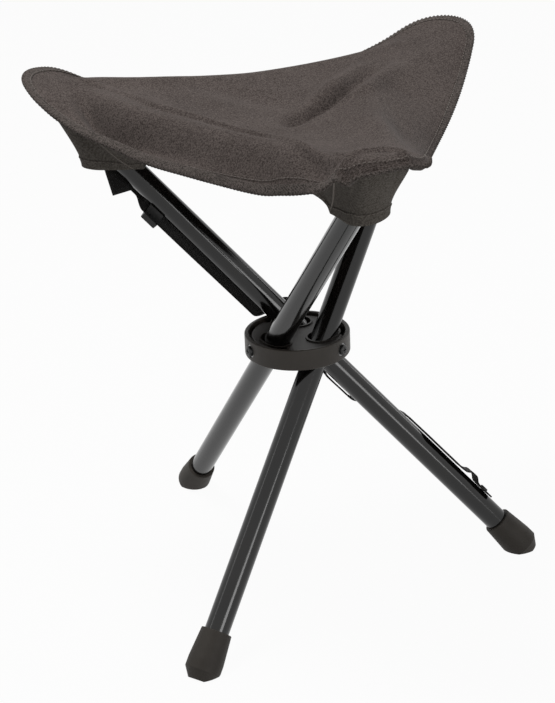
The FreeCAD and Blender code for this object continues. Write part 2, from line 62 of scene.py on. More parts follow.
# Legs and hub, as the joints give them
LEGS = ("a", "b", "c")
STRAP_LEG = "c"
JOINTS = {joint["child"][-1]: joint for joint in frame["joints"]}
PIVOTS = {leg: Vector(JOINTS[leg]["pos_m"]) for leg in LEGS}
PIVOT_AXES = {leg: Vector(JOINTS[leg]["axis"]) for leg in LEGS}
HUB = sum(PIVOTS.values(), Vector()) / len(LEGS)
PIVOT_RADIUS = (PIVOTS["a"] - HUB).length
LEG_TILT = radians(42.2)
LEG_BELOW = 0.3125
TUBE_R = 0.011
TIP_AT = 0.305
RING_HEIGHT = 0.0195
SCREW_TOP_AT = 0.0504

# Seat cloth
CLOTH = 0.0014
SEAT_ABOVE_TIP = 0.0024
CORNER_OVERHANG = 0.0187
SEAT_CORNER_R = 0.050
SEAT_BOW = 0.013
SEAT_DISH = 0.022
RIDGE_INSIDE = 0.007
RIDGE_SOFTNESS = 0.007
APRON_DROP = 0.033
HANG_POWER = 2.0
HANG_SOFTNESS = 0.16

# Worked out from these
TIP_OUT = TIP_AT * sin(LEG_TILT)
TIP_RADIUS = hypot(TIP_OUT, PIVOT_RADIUS)
TIP_TOP = TIP_AT * cos(LEG_TILT) + TUBE_R * sin(LEG_TILT)
SEAT_TWIST = atan2(PIVOT_RADIUS, TIP_OUT)
SEAT_LEVEL = TIP_TOP + SEAT_ABOVE_TIP
SEAT_REACH = TIP_RADIUS + TUBE_R + CORNER_OVERHANG
SEAT_INRADIUS = (SEAT_REACH + SEAT_CORNER_R) / 2
CORNER_CENTRE = SEAT_REACH - SEAT_CORNER_R
RIDGE_AT = TIP_RADIUS * cos(radians(60)) + TUBE_R - RIDGE_INSIDE
RIDGE_HALF = TIP_RADIUS * sin(radians(60))

# Direction of each seat corner from the hub's axis, over the tip of its leg
CORNERS = {leg: radians(turn) - SEAT_TWIST for leg, turn in (("a", 300), ("b", 60), ("c", 180))}
RIGHT, REAR, FRONT = 0, 1, 2

# How the corners and sides of the photographed cloth differ from each other
FLAP_RISES = {"a": -0.003, "b": 0.010, "c": 0.012}
FLAP_REACHES = {"a": 0.0, "b": 0.012, "c": -0.003}
KNUCKLE = 0.048
KNUCKLE_AT, KNUCKLE_FROM, KNUCKLE_TO = 0.062, -0.120, 0.150
KNUCKLE_SOFTNESS = 0.06
FRONT_BOW = 0.030
FRONT_BOW_AT, FRONT_BOW_SPREAD = -0.095, 0.062
FRONT_OUT = 0.015
FRONT_OUT_AT, FRONT_OUT_SPREAD = 0.145, 0.028
FRONT_DROP = 0.004
FRONT_DROP_AT, FRONT_DROP_SPREAD = 0.110, 0.050
FRONT_ROUNDING = 1.7
FRONT_HANG_POWER, FRONT_HANG_SKEW, FRONT_HANG_TURN = 3.5, 1.5, 0.05
RIGHT_PULL, RIGHT_PULL_DOWN = 0.019, 0.014
RIGHT_PULL_AT, RIGHT_PULL_SPREAD = -0.035, 0.075
# How far out these pulls start, and how closely a flap keeps to its corner
PULL_FROM, REACH_FROM = 0.06, 0.12
FLAP_FOCUS = 6

# Folds of the cloth: a line in millimetres from the hub's axis, its rises along the way, and its spread
FOLDS = [
    # Crest of the front side, from the left corner to the front one
    ([(-205, 47), (-183, 37), (-159, 27), (-132, 5), (-112, -22), (-84, -45), (-49, -71), (-11, -100),
      (7, -139), (20, -160), (31, -174), (41, -185), (50, -196)],
     [0, 1.5, 2.5, 4, 5, 5.5, 5.5, 5.5, 5, 4.5, 4], 2.6),
    # Valley beside the left corner, going on along the hem
    ([(-186, 10), (-172, -12), (-161, -30), (-147, -45), (-133, -56), (-112, -73), (-87, -96),
      (-58, -122), (-29, -146), (-1, -169)], [-1, -17, -18, -13, -9, -6, -5, -4, -3], 6.5),
    # Bulge inside that valley
    ([(-168, 12), (-152, -12), (-132, -32), (-111, -50), (-59, -96), (-13, -138), (16, -170)],
     [1, 8, 7, 5, 5, 4], 9),
    # Pinch at the front corner
    ([(47, -224), (44, -210), (40, -199), (31, -184), (20, -168)], [1, -3, -10, -8, -1], 6),
    # Crest over the front leg's tip, the flat before it, the hollow behind it and the turned-down rim
    ([(47, -208), (58, -202), (72, -195), (88, -192), (99, -199), (105, -211)],
     [2, 5, 5, 5, 4, 0], 2.6),
    ([(58, -210), (74, -203), (90, -201), (100, -206)], [1, 1.5, 1.5, 1], 6),
    ([(42, -186), (60, -183), (85, -178), (106, -186)], [-2, -11, -12, -4], 5.5),
    ([(51, -216), (67, -221), (80, -221), (93, -217), (104, -210), (113, -201), (121, -186),
      (126, -170)], [-15, -11, -9, -7, -7.5, -9, -7, -1], 3.4),
    # Rear side's ridge and edge beside the left corner
    ([(-206, 30), (-180, 42), (-152, 52), (-97, 75), (-42, 98)], [2, 6, 5, 4, 2, 0], 10),
    ([(-219, 59), (-204, 68), (-180, 78)], [2, 5, 2], 10),
    # Edge of the front side, which the tape holds up
    ([(-182, -42), (-149, -67), (-110, -97), (-57, -136), (-8, -173), (31, -202)],
     [0, 6, 4.5, 4.5, 4.5, 3, 1], 12),
    # Folds in the dish, towards the rear corner
    ([(8, 7), (35, 51), (63, 112)], [2, 8, 4], 7),
    ([(0, -24), (14, 0), (48, 41), (74, 92)], [-4, -9, -7, -2], 6),
    ([(44, 24), (68, 30), (95, 98)], [2, 7, 2], 6),
    # Soft rolls of slack cloth in the dish
    ([(-120, 60), (-60, 20), (-10, -40)], [0, 3, 1], 12),
    ([(-95, 70), (-35, 45), (10, 20)], [0, -3, -1], 10),
    ([(60, -20), (82, -70), (92, -130)], [1, 4, 1], 10),
    ([(92, 10), (100, -40), (104, -100)], [-1, -4, -1], 9),
]

# Edge tape, its rope-like rim and its stitches. Stops, shoulder and reach are shares of the tape's width,
# bulge and offset are shares of its half thickness
BINDING_WIDTH = 0.0075
BINDING_T = 0.0007
TAPE_STOPS = (0.7, 0.4, 0.2)
TAPE_SHOULDER = 0.93
RIM_SWELL = 0.00045
RIM_PITCH = 0.0036
RIM_REACH = 0.45
RIM_BULGE, RIM_OFFSET = 1.2, 0.4
RIM_POINTS = 7
RIM_TURN_FROM = 0.3
RIM_SLANT = 2.2
STEPS_PER_TURN = 7
INWARD_STEP = 0.001
EDGE_STITCH_INSET = 0.0061
EDGE_STITCH_PITCH = 0.0038
STITCH_LENGTH = 0.0027
STITCH_R = 0.00038

# Corner pockets
POCKET_INSET = 0.016
POCKET_LENGTH = 0.040
POCKET_DEPTH = 0.0615
POCKET_SIDE_ROOM = 0.010
POCKET_BACK_ROOM = 0.005
POCKET_FRONT_ROOM = 0.023
POCKET_BELLY = 0.002
POCKET_GAP = 0.0006
HEM_AT = TIP_AT - POCKET_DEPTH / cos(LEG_TILT)
HEM_BACK = TUBE_R / cos(LEG_TILT) + POCKET_BACK_ROOM
HEM_FRONT = TUBE_R / cos(LEG_TILT) + POCKET_FRONT_ROOM
SEAM_HEIGHT = SEAT_LEVEL - TUBE_R
# How the pockets in the photograph differ: hem's place up the leg, its slack beside the tube, its slope
# sideways, and how much of the wall is cut away towards the back
HEM_LIFTS = {"a": 0.017, "b": 0.006, "c": 0.0}
HEM_PULLS = {"a": 0.003, "b": 0.0, "c": 0.0}
HEM_TILTS = {"a": 0.16, "b": 0.12, "c": 0.0}
HEM_RAKES = {"a": 0.6, "b": 0.0, "c": 0.0}
# How far the top is pulled in sideways, and how late the walls widen on the way up, in front and behind
SEAM_PULLS = {"a": 0.003, "b": 0.003, "c": 0.014}
POCKET_FLARES = {"a": 1.7, "b": 1.3, "c": 1.5}
BACK_FLARES = {"a": 1.0, "b": 1.3, "c": 1.5}
HEM_WIDTH = 0.008
HEM_T = 0.0006
HEM_THIN = 0.2
HEM_SINK = 0.0002
SEAM_R = 0.0008
POCKET_FOLDS = 0.0014
RIPPLE_WAVES = (2, 3, 5, 7)
RIPPLE_STRENGTHS = (0.4, 1.0)
RIPPLE_LEAN, RIPPLE_FADE = 0.8, 0.75

# Carry strap: its places along the leg are counted from the pivot, its facings are in degrees from the
# leg's outer side towards its underside
STRAP_WIDTH = 0.020
STRAP_T = 0.0016
STRAP_TOP_BELOW_HEM = 0.004
STRAP_STAND_OFF = 0.0062
STRAP_FACING = 70.0
STRAP_OVER_HUB_FACING = 62.0
STRAP_HUB_GAP = 0.0021
STRAP_HUB_REACH = 0.010
STRAP_HUB_FACING = 6.0
STRAP_LOW_FACING = 109.0
# Share of the way down to the foot, side of the tube, gap to it and depth past it in millimetres
STRAP_CROSSING = [(0.13, 1, 1.2, -3), (0.35, 1, 0.8, 6), (0.57, 0, 0, 14.5), (0.80, -1, 0.8, 5)]
# Height over the foot and gap to the tube, in millimetres
STRAP_ABOVE_FOOT = [(107, 0.8), (66, 1), (60, 1.6), (54.5, 4.6), (49, 4.6), (42, 0.6), (36, 0.3),
                    (24, 0.3)]
SLIDER_BELOW_HEM = 0.052
SLIDER_LENGTH = 0.016
SEAM_GAP = 0.0001
FOOT_LENGTH = 0.040
TAB_FACING = 36.0
TAB_LEAN = radians(30)
TAB_ASIDE = 0.0175
TAB_CLEARANCE = 0.0012
TAB_T = 0.0036
TAB_LENGTH = 0.036
TAB_END_BELOW_HEM = 0.0185


# Mesh helpers

def mesh_object(name, points, faces, material, smooth=True):
    mesh = bpy.data.meshes.new(name)
    mesh.from_pydata([tuple(point) for point in points], [], faces)
    shell = bmesh.new()
    shell.from_mesh(mesh)
    bmesh.ops.recalc_face_normals(shell, faces=shell.faces)
    shell.to_mesh(mesh)
    shell.free()
    mesh.polygons.foreach_set("use_smooth", [smooth] * len(mesh.polygons))
    mesh.materials.append(material)
    piece = bpy.data.objects.new(name, mesh)
    bpy.context.scene.collection.objects.link(piece)
    return piece


def grid_faces(rows, columns, first=0, wrap=False):
    """Quads of a grid of points, row after row; wrap closes each row into a ring."""
    faces = []
    for i in range(rows - 1):
        for j in range(columns if wrap else columns - 1):
            a = first + i * columns + j
            b = first + i * columns + (j + 1) % columns
            faces.append((a, b, b + columns, a + columns))
    return faces


def closed_sheet(top, bottom):
    """Points and faces of a sheet with thickness, from two grids of the same size."""
    rows, columns = top.shape[:2]
    count = rows * columns
    points = np.vstack([top.reshape(-1, 3), bottom.reshape(-1, 3)])
    faces = grid_faces(rows, columns)
    faces += [tuple(count + i for i in reversed(face)) for face in faces]
    edge = list(range(columns))
    edge += [i * columns + columns - 1 for i in range(1, rows)]
    edge += [(rows - 1) * columns + j for j in range(columns - 2, -1, -1)]
    edge += [i * columns for i in range(rows - 2, 0, -1)]
    faces += [(b, a, a + count, b + count) for a, b in zip(edge, edge[1:] + edge[:1])]
    return points, faces


def closed_tube(outer, inner):
    """Points and faces of a tube of cloth: two grids of rings, joined at both ends."""
    rows, columns = outer.shape[:2]
    count = rows * columns
    points = np.vstack([outer.reshape(-1, 3), inner.reshape(-1, 3)])
    faces = grid_faces(rows, columns, wrap=True)
    faces += [tuple(count + i for i in reversed(face)) for face in faces]
    for first, flip in ((0, True), ((rows - 1) * columns, False)):
        for j in range(columns):
            a, b = first + j, first + (j + 1) % columns
            rim = (a, b, b + count, a + count)
            faces.append(tuple(reversed(rim)) if flip else rim)
    return points, faces


def swept(sections):
    """Points and faces of a closed outline carried along a path, one outline per section."""
    count = len(sections[0])
    points = np.vstack(sections)
    faces = grid_faces(len(sections), count, wrap=True)
    last = (len(sections) - 1) * count
    faces.append(tuple(reversed(range(count))))
    faces.append(tuple(range(last, last + count)))
    return points, faces


def unit(vectors):
    return vectors / np.linalg.norm(vectors, axis=-1, keepdims=True)


def run_along(line):
    """Distance along a line of points, from its first one to each."""
    return np.concatenate([[0], np.cumsum(np.linalg.norm(np.diff(line, axis=0), axis=1))])


def along_line(distances, run, values):
    """Values given at the points of a line, at distances along it."""
    return np.stack([np.interp(distances, run, column) for column in values.T], axis=1)


STITCH_SIDES = 6
STITCH_RINGS = ((-0.5, 0.35), (-0.3, 0.9), (0.0, 1.0), (0.3, 0.9), (0.5, 0.35))


def stitches(places, along, normal):
    """Points and faces of a row of thread stitches, each a short rounded bar lying on the cloth."""
    points, faces = [], []
    for place, way, up in zip(places, along, normal):
        side = np.cross(up, way)
        first = len(points)
        for share, thick in STITCH_RINGS:
            for k in range(STITCH_SIDES):
                turn = 2 * pi * k / STITCH_SIDES
                ring = side * cos(turn) + up * sin(turn)
                points.append(place + way * share * STITCH_LENGTH + ring * thick * STITCH_R)
        faces += grid_faces(len(STITCH_RINGS), STITCH_SIDES, first, wrap=True)
        faces.append(tuple(first + k for k in reversed(range(STITCH_SIDES))))
        last = first + (len(STITCH_RINGS) - 1) * STITCH_SIDES
        faces.append(tuple(last + k for k in range(STITCH_SIDES)))
    return np.array(points), faces


# Seat surface

def soft_step(value, softness=RIDGE_SOFTNESS):
    """Rises from nought to value without a sharp corner."""
    return (value + np.sqrt(value * value + softness ** 2)) / 2


def bump(value, centre, spread):
    return np.exp(-((value - centre) / spread) ** 2 / 2)


def tent(value, top, low, high):
    """One at top, falling straight to nought at low and at high."""
    share = np.where(value < top, (value - low) / (top - low), (high - value) / (high - top))
    return soft_step(share, KNUCKLE_SOFTNESS) - KNUCKLE_SOFTNESS ** 2 / 4


def near_corner(x, y, leg):
    """One in the direction of a leg's corner, falling off to both sides of it."""
    out = np.maximum(np.hypot(x, y), 1e-6)
    towards = (x * cos(CORNERS[leg]) + y * sin(CORNERS[leg])) / out
    return np.clip(towards, 0, 1) ** FLAP_FOCUS


def side_place(x, y, side):
    """Distance outwards across one side of the seat, and along it from its middle."""
    normal = radians(120 * side) - SEAT_TWIST
    return x * cos(normal) + y * sin(normal), y * cos(normal) - x * sin(normal)


def ridge_place(along, side):
    """How far out a side's ridge lies: the real cloth's isn't straight on two sides."""
    if side == RIGHT:
        return RIDGE_AT - KNUCKLE * tent(along, KNUCKLE_AT, KNUCKLE_FROM, KNUCKLE_TO)
    if side == FRONT:
        outwards = FRONT_OUT * bump(along, FRONT_OUT_AT, FRONT_OUT_SPREAD)
        return RIDGE_AT - FRONT_BOW * bump(along, FRONT_BOW_AT, FRONT_BOW_SPREAD) + outwards
    return RIDGE_AT + 0 * along


def apron_fall(across, along, side, ridge):
    """How far a side's edge hangs down outside its ridge."""
    fall = soft_step(across - ridge) / (SEAT_INRADIUS - ridge)
    drop, power = APRON_DROP, HANG_POWER
    if side == FRONT:
        fall = fall ** FRONT_ROUNDING
        drop = APRON_DROP + FRONT_DROP * bump(along, FRONT_DROP_AT, FRONT_DROP_SPREAD)
        power = FRONT_HANG_POWER + FRONT_HANG_SKEW * np.tanh(along / FRONT_HANG_TURN)
    return drop * fall * soft_step(1 - (np.abs(along) / RIDGE_HALF) ** power, HANG_SOFTNESS)


def fold_rise(x, y, line, rises, spread):
    """Rise of one fold: soft dabs set closely along its line."""
    corners = np.array(line) * MM
    spread = spread * MM
    run = run_along(corners)
    places = np.linspace(0, run[-1], int(2 * run[-1] / spread) + 2)
    heights = np.interp(places / run[-1], np.linspace(0, 1, len(rises)), rises) * MM
    weight = (places[1] - places[0]) / (spread * sqrt(2 * pi))
    rise = np.zeros(np.shape(x))
    for (at_x, at_y), height in zip(along_line(places, run, corners), heights):
        away = (x - at_x) ** 2 + (y - at_y) ** 2
        rise = rise + height * weight * np.exp(-away / (2 * spread ** 2))
    return rise


def seat_height(x, y):
    """Height of the cloth's underside over the pivots, at a place counted from the hub's axis."""
    out = np.hypot(x, y)
    height = SEAT_LEVEL - SEAT_BOW * (1 - (out / TIP_RADIUS) ** 2)
    for leg, rise in FLAP_RISES.items():
        height = height + rise * near_corner(x, y, leg) * soft_step(out - TIP_RADIUS) / SEAT_CORNER_R
    dish = SEAT_DISH
    for side in (RIGHT, REAR, FRONT):
        across, along = side_place(x, y, side)
        ridge = ridge_place(along, side)
        dish = dish * soft_step(ridge - across) / RIDGE_AT
        height = height - apron_fall(across, along, side, ridge)
    for line, rises, spread in FOLDS:
        height = height + fold_rise(x, y, line, rises, spread)
    return height - dish


def seat_points(x, y):
    """Places on the cloth's underside in the frame that all pieces share."""
    z = seat_height(x, y)
    across, along = side_place(x, y, RIGHT)
    near_edge = np.clip((across - PULL_FROM) / (SEAT_INRADIUS - PULL_FROM), 0, 1) ** 2
    pull = near_edge * bump(along, RIGHT_PULL_AT, RIGHT_PULL_SPREAD)
    shift_x = -RIGHT_PULL * pull * cos(SEAT_TWIST)
    shift_y = RIGHT_PULL * pull * sin(SEAT_TWIST)
    far = np.clip((np.hypot(x, y) - REACH_FROM) / (SEAT_REACH - REACH_FROM), 0, 1) ** 2
    for leg, reach in FLAP_REACHES.items():
        outwards = reach * far * near_corner(x, y, leg)
        shift_x = shift_x + outwards * cos(CORNERS[leg])
        shift_y = shift_y + outwards * sin(CORNERS[leg])
    z = z - RIGHT_PULL_DOWN * pull
    return np.stack([x + shift_x + HUB.x, y + shift_y + HUB.y, z + HUB.z], axis=-1)


NORMAL_STEP = 0.0006
EDGE_SAMPLES = 2401
LENGTH_STEPS = 400
SEAT_STEPS = 120


def seat_normals(x, y):
    """Upward normals of the cloth."""
    over_x = seat_points(x + NORMAL_STEP, y) - seat_points(x - NORMAL_STEP, y)
    over_y = seat_points(x, y + NORMAL_STEP) - seat_points(x, y - NORMAL_STEP)
    return unit(np.cross(over_x, over_y))


def outline_reach(turn, inset=0.0):
    """Distance from the hub's axis to the cloth's edge, at an angle from a corner's direction."""
    radius = SEAT_CORNER_R - inset
    flank = atan2(radius * sin(radians(60)), CORNER_CENTRE + radius * cos(radians(60)))
    if abs(turn) < flank:
        return CORNER_CENTRE * cos(turn) + sqrt(radius ** 2 - (CORNER_CENTRE * sin(turn)) ** 2)
    return (SEAT_INRADIUS - inset) / cos(radians(60) - abs(turn))


def corner_edge(leg, steps, inset=0.0):
    """Plan places spread evenly along one corner's share of the cloth's edge."""
    turns = np.linspace(-radians(60), radians(60), EDGE_SAMPLES)
    reach = np.array([outline_reach(turn, inset) for turn in turns])
    headings = turns + CORNERS[leg]
    places = np.stack([reach * np.cos(headings), reach * np.sin(headings)], axis=1)
    run = run_along(places)
    return along_line(np.linspace(0, run[-1], steps + 1), run, places)


def corner_patch(leg):
    """Plan grid of one corner's share of the cloth, a kite from the hub's axis to the corner."""
    edge = corner_edge(leg, 2 * SEAT_STEPS, BINDING_T)
    share = np.linspace(0, 1, SEAT_STEPS + 1)
    first, second = edge[:SEAT_STEPS + 1], edge[:SEAT_STEPS - 1:-1]
    spoke_first, spoke_second = np.outer(share, edge[0]), np.outer(share, edge[-1])
    u, v = share[:, None, None], share[None, :, None]
    grid = (1 - v) * spoke_first[:, None] + v * second[:, None]
    grid = grid + (1 - u) * spoke_second[None] + u * first[None]
    corners = u * (1 - v) * edge[0] + (1 - u) * v * edge[-1] + u * v * edge[SEAT_STEPS]
    grid = grid - corners
    return grid[..., 0].T, grid[..., 1].T


def follow_leg(piece):
    """Bakes a piece of the seat's placement into its mesh."""
    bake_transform(piece)


def seat_corner(leg, material):
    x, y = corner_patch(leg)
    bottom = seat_points(x, y)
    normal = seat_normals(x, y)
    points, faces = closed_sheet(bottom + normal * CLOTH, bottom)
    piece = mesh_object("seat_cloth_" + leg, points, faces, material)
    both = np.vstack([normal.reshape(-1, 3), -normal.reshape(-1, 3)])
    piece.data.normals_split_custom_set_from_vertices([tuple(one) for one in both])
    follow_leg(piece)
    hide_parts("seat_panel")
    return piece


# Edge tape and its stitches

def edge_frames(leg, steps, inset=0.0):
    """Along the cloth's edge: place on its middle layer, way inwards, normal and way along."""
    plan = corner_edge(leg, steps, inset)
    further_in = corner_edge(leg, steps, inset + INWARD_STEP)
    x, y = plan[:, 0], plan[:, 1]
    place = seat_points(x, y)
    normal = seat_normals(x, y)
    inwards = seat_points(further_in[:, 0], further_in[:, 1]) - place
    inwards = unit(inwards - normal * np.sum(inwards * normal, axis=1, keepdims=True))
    return place + normal * CLOTH / 2, inwards, normal, unit(np.gradient(place, axis=0))


def binding_profile():
    """The tape's outline across the edge: round its outside, then back along the cloth."""
    outer = CLOTH / 2 + BINDING_T
    inner = CLOTH / 2
    top = [(BINDING_WIDTH, inner + BINDING_T / 2), (BINDING_WIDTH * TAPE_SHOULDER, outer)]
    top += [(share * BINDING_WIDTH, outer) for share in TAPE_STOPS]
    turns = np.linspace(RIM_TURN_FROM, pi - RIM_TURN_FROM, RIM_POINTS)
    rim = [(outer * (RIM_OFFSET - RIM_BULGE * sin(turn)), outer * cos(turn)) for turn in turns]
    bottom = [(across, -rise) for across, rise in reversed(top)]
    inside = [(BINDING_WIDTH, -inner), (BINDING_T, -inner), (BINDING_T, inner), (BINDING_WIDTH, inner)]
    return np.array(top + rim + bottom + inside)


def edge_length(leg):
    return run_along(corner_edge(leg, LENGTH_STEPS))[-1]


def binding_corner(leg, material):
    turns = round(edge_length(leg) / RIM_PITCH)
    steps = STEPS_PER_TURN * turns
    place, inwards, normal, _ = edge_frames(leg, steps)
    profile = binding_profile()
    outer = CLOTH / 2 + BINDING_T
    sections = []
    for i in range(steps + 1):
        wave = 2 * pi * turns * i / steps
        section = []
        for across, rise in profile:
            near_rim = max(0.0, 1 - across / (RIM_REACH * BINDING_WIDTH))
            swell = RIM_SWELL * near_rim * sin(wave + RIM_SLANT * rise / outer)
            lift = 1 + swell / outer
            section.append(place[i] + inwards[i] * (across - max(0.0, swell)) + normal[i] * rise * lift)
        sections.append(np.array(section))
    piece = mesh_object("seat_binding_" + leg, *swept(sections), material)
    follow_leg(piece)
    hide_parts("seat_binding")
    return piece


def edge_stitches(leg, material):
    count = round(edge_length(leg) / EDGE_STITCH_PITCH)
    place, _, normal, along = edge_frames(leg, count, EDGE_STITCH_INSET)
    on_tape = CLOTH / 2 + BINDING_T
    rows = stitches((place + normal * on_tape)[:-1], along[:-1], normal[:-1])
    piece = mesh_object("seat_stitches_" + leg, *rows, material)
    follow_leg(piece)
    return piece


# Corner pockets

POCKET_ROWS = 48
BACK_STEPS, SIDE_STEPS, FRONT_STEPS = 22, 52, 96
POCKET_SEEDS = {"a": 11, "b": 5, "c": 8}
RIB_SIDES = 8
RIB_END = 4
RIB_BENDS = 4
RIB_BACK, RIB_TOP_BACK = 38, 8


def pocket_sizes(leg, share):
    """Inner end, its half width, flank, its half width and outer end, from hem (0) to seam (1)."""
    radius = SEAT_CORNER_R - POCKET_INSET
    flank = CORNER_CENTRE + radius * cos(radians(60))
    flank_half = radius * sin(radians(60)) - SEAM_PULLS[leg]
    inner = CORNER_CENTRE - POCKET_LENGTH
    inner_half = flank_half + (flank - inner) * sin(radians(30)) / cos(radians(30))
    seam = np.array([inner, inner_half, flank, flank_half, CORNER_CENTRE + radius])
    axis_out = (HEM_AT + HEM_LIFTS[leg]) * sin(LEG_TILT)
    half = TUBE_R + POCKET_SIDE_ROOM - HEM_PULLS[leg]
    hem = np.array([axis_out - HEM_BACK, half, axis_out + HEM_FRONT - half, half, axis_out + HEM_FRONT])
    belly = np.array([0, 0, POCKET_BELLY, 0, POCKET_BELLY]) * 4 * share * (1 - share)
    return hem + (seam - hem) * share + belly


def straight(start, end, steps):
    return np.linspace(start, end, steps, endpoint=False)


def pocket_loop(leg, share):
    """Places round the pocket at one level, in its own directions: outwards and sideways."""
    inner, inner_half, flank, flank_half, tip = pocket_sizes(leg, share)
    sagitta = tip - flank
    radius = (flank_half ** 2 + sagitta ** 2) / (2 * sagitta)
    half_turn = atan2(flank_half, radius - sagitta)
    turns = np.linspace(-half_turn, half_turn, FRONT_STEPS, endpoint=False)
    front = np.stack([tip - radius + radius * np.cos(turns), radius * np.sin(turns)], axis=1)
    back_left, back_right = (inner, -inner_half), (inner, inner_half)
    left, right = (flank, -flank_half), (flank, flank_half)
    return np.vstack([
        straight((inner, 0), back_left, BACK_STEPS),
        straight(back_left, left, SIDE_STEPS),
        front,
        straight(right, back_right, SIDE_STEPS),
        straight(back_right, (inner, 0), BACK_STEPS),
    ])


def pocket_ripple(leg, share, count):
    """Soft upright folds of slack cloth, strongest at the hem."""
    draw = np.random.default_rng(POCKET_SEEDS[leg])
    turn = np.linspace(0, 2 * pi, count, endpoint=False)
    ripple = np.zeros(count)
    for waves in RIPPLE_WAVES:
        strength = draw.uniform(*RIPPLE_STRENGTHS) / waves
        start = draw.uniform(0, 2 * pi)
        ripple += strength * np.sin(waves * turn + start + RIPPLE_LEAN * share)
    return POCKET_FOLDS * ripple * (1 - RIPPLE_FADE * share)


def backness(count):
    """How far a column lies behind the pocket's corded seams, up to one in the middle of its back."""
    place = np.minimum(np.arange(count), count - np.arange(count))
    return np.sqrt(np.clip(1 - place / (BACK_STEPS + SIDE_STEPS - RIB_BACK), 0, 1))


def pocket_plan(leg, share):
    """Plan places round the pocket at one level, and how far sideways each lies."""
    pivot_way = np.array([PIVOT_AXES[leg].x, PIVOT_AXES[leg].y])
    loop = pocket_loop(leg, share)
    turn = atan2(pivot_way[1], pivot_way[0]) + pi / 2 - share * SEAT_TWIST
    way, side = np.array([cos(turn), sin(turn)]), np.array([-sin(turn), cos(turn)])
    outwards = unit(np.stack([np.gradient(loop[:, 1]), -np.gradient(loop[:, 0])], axis=1))
    loop = loop + outwards * pocket_ripple(leg, share, len(loop))[:, None]
    plan = np.outer(loop[:, 0], way) + np.outer(loop[:, 1], side) + (1 - share) * PIVOT_RADIUS * pivot_way
    return plan, loop[:, 1]


def pocket_rings(leg):
    """Rings of the pocket's outside from hem to seat, and their outward normals."""
    hem_height = (HEM_AT + HEM_LIFTS[leg]) * cos(LEG_TILT)
    to_seam = (SEAM_HEIGHT - hem_height) / (SEAT_LEVEL - hem_height)
    rings = []
    for rise in np.linspace(0, 1, POCKET_ROWS):
        part = min(1.0, rise / to_seam)
        plan, sideways = pocket_plan(leg, part ** POCKET_FLARES[leg])
        back_plan, _ = pocket_plan(leg, part ** BACK_FLARES[leg])
        plan = plan + (back_plan - plan) * backness(len(plan))[:, None]
        cloth = seat_points(plan[:, 0], plan[:, 1]) - np.array(HUB)
        plan = plan + (cloth[:, :2] - plan) * rise
        rings.append((rise, plan, sideways, cloth[:, 2] - POCKET_GAP))
    top = rings[-1][3]
    grid = []
    for rise, plan, sideways, under in rings:
        hem = hem_height + HEM_TILTS[leg] * sideways
        z = np.minimum(hem + (top - hem) * rise, under)
        grid.append(np.column_stack([plan + np.array([HUB.x, HUB.y]), z + HUB.z]))
    grid = raked(np.array(grid), HEM_RAKES[leg])
    around = np.roll(grid, -1, axis=1) - np.roll(grid, 1, axis=1)
    return grid, unit(np.cross(around, np.gradient(grid, axis=0)))


def raked(grid, rake):
    """Cuts the hem away more and more from the front to the back of the pocket."""
    rows = np.arange(POCKET_ROWS)
    for column, share in enumerate(backness(grid.shape[1]) * rake):
        even = np.linspace(share * (POCKET_ROWS - 1), POCKET_ROWS - 1, POCKET_ROWS)
        grid[:, column] = along_line(even, rows, grid[:, column])
    return grid


def straight_seam(grid, normal, low, high):
    """Line on the pocket close to a straight one, from a hem column to a column at the seat."""
    rows = np.arange(1, POCKET_ROWS - RIB_END)
    reach = np.linspace(0, 1, len(rows))[:, None]
    line = grid[rows[0], low] * (1 - reach) + grid[rows[-1], high] * reach
    nearest = [np.argmin(np.linalg.norm(grid[row] - place, axis=1)) for row, place in zip(rows, line)]
    column = np.polyval(np.polyfit(rows, nearest, RIB_BENDS), rows)
    before, part = np.floor(column).astype(int), (column % 1)[:, None]
    on_ring = [each[rows, before] * (1 - part) + each[rows, before + 1] * part for each in (grid, normal)]
    return on_ring[0], unit(on_ring[1])


def leg_ways(leg):
    """Directions up along a leg, and across it towards its underside."""
    tangent = UPWARDS.cross(PIVOT_AXES[leg])
    along = tangent * sin(LEG_TILT) + UPWARDS * cos(LEG_TILT)
    return along, tangent * cos(LEG_TILT) - UPWARDS * sin(LEG_TILT)


def collapse_on_leg(piece, leg):
    """Rides on the leg, with a mesh of its own."""
    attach(piece, "leg_" + leg)
    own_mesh(piece)


def pocket_rib(name, line, normal, material):
    """Corded seam that stands up from the pocket along a line on it; in the light thread, whose lightness
    there is partly a painted highlight along its ridge.
    """
    along = unit(np.gradient(line, axis=0))
    sections = []
    turns = np.linspace(0, 2 * pi, RIB_SIDES, endpoint=False)
    for place, way, out in zip(line, along, normal):
        side = np.cross(way, out)
        ring = [side * cos(turn) + out * sin(turn) for turn in turns]
        sections.append(place + SEAM_R * np.array(ring))
    return mesh_object(name, *swept(sections), material)


